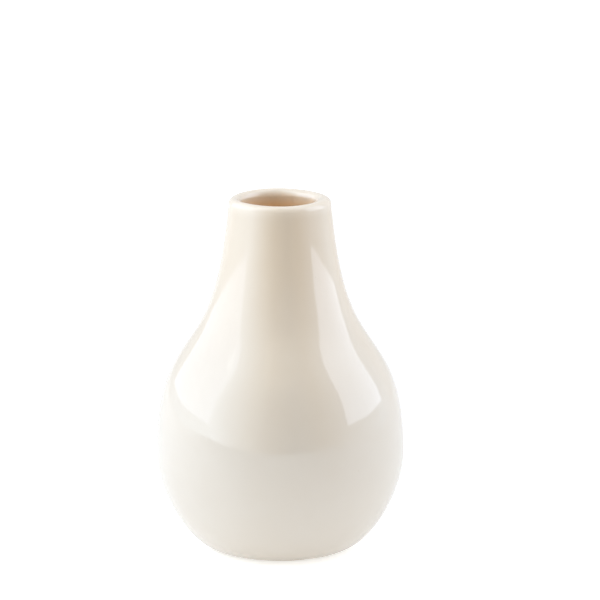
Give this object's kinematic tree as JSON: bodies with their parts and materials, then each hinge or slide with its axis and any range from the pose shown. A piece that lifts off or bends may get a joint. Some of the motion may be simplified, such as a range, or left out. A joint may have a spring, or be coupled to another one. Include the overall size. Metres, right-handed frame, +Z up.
{
  "type": "ceramic bud vase",
  "caption": "Small pear-shaped ceramic bud vase: open rounded lip, slim neck, full round belly on a low unglazed foot ring, glossy cream glaze inside and out.",
  "frame": {"origin": "centre of the base, on the surface that the vase stands on", "axes": "+Z up the vase's axis of revolution; +X and +Y are level"},
  "size_m": [0.0838, 0.0838, 0.12],
  "materials": {
    "bisque_clay": "matte fired clay, unglazed",
    "cream_glaze": "glossy cream glaze, fired, smooth"
  },
  "bodies": {
    "root": {"clay_body": "bisque_clay", "outer_glaze": "cream_glaze", "inner_glaze": "cream_glaze"}
  },
  "joints": []
}
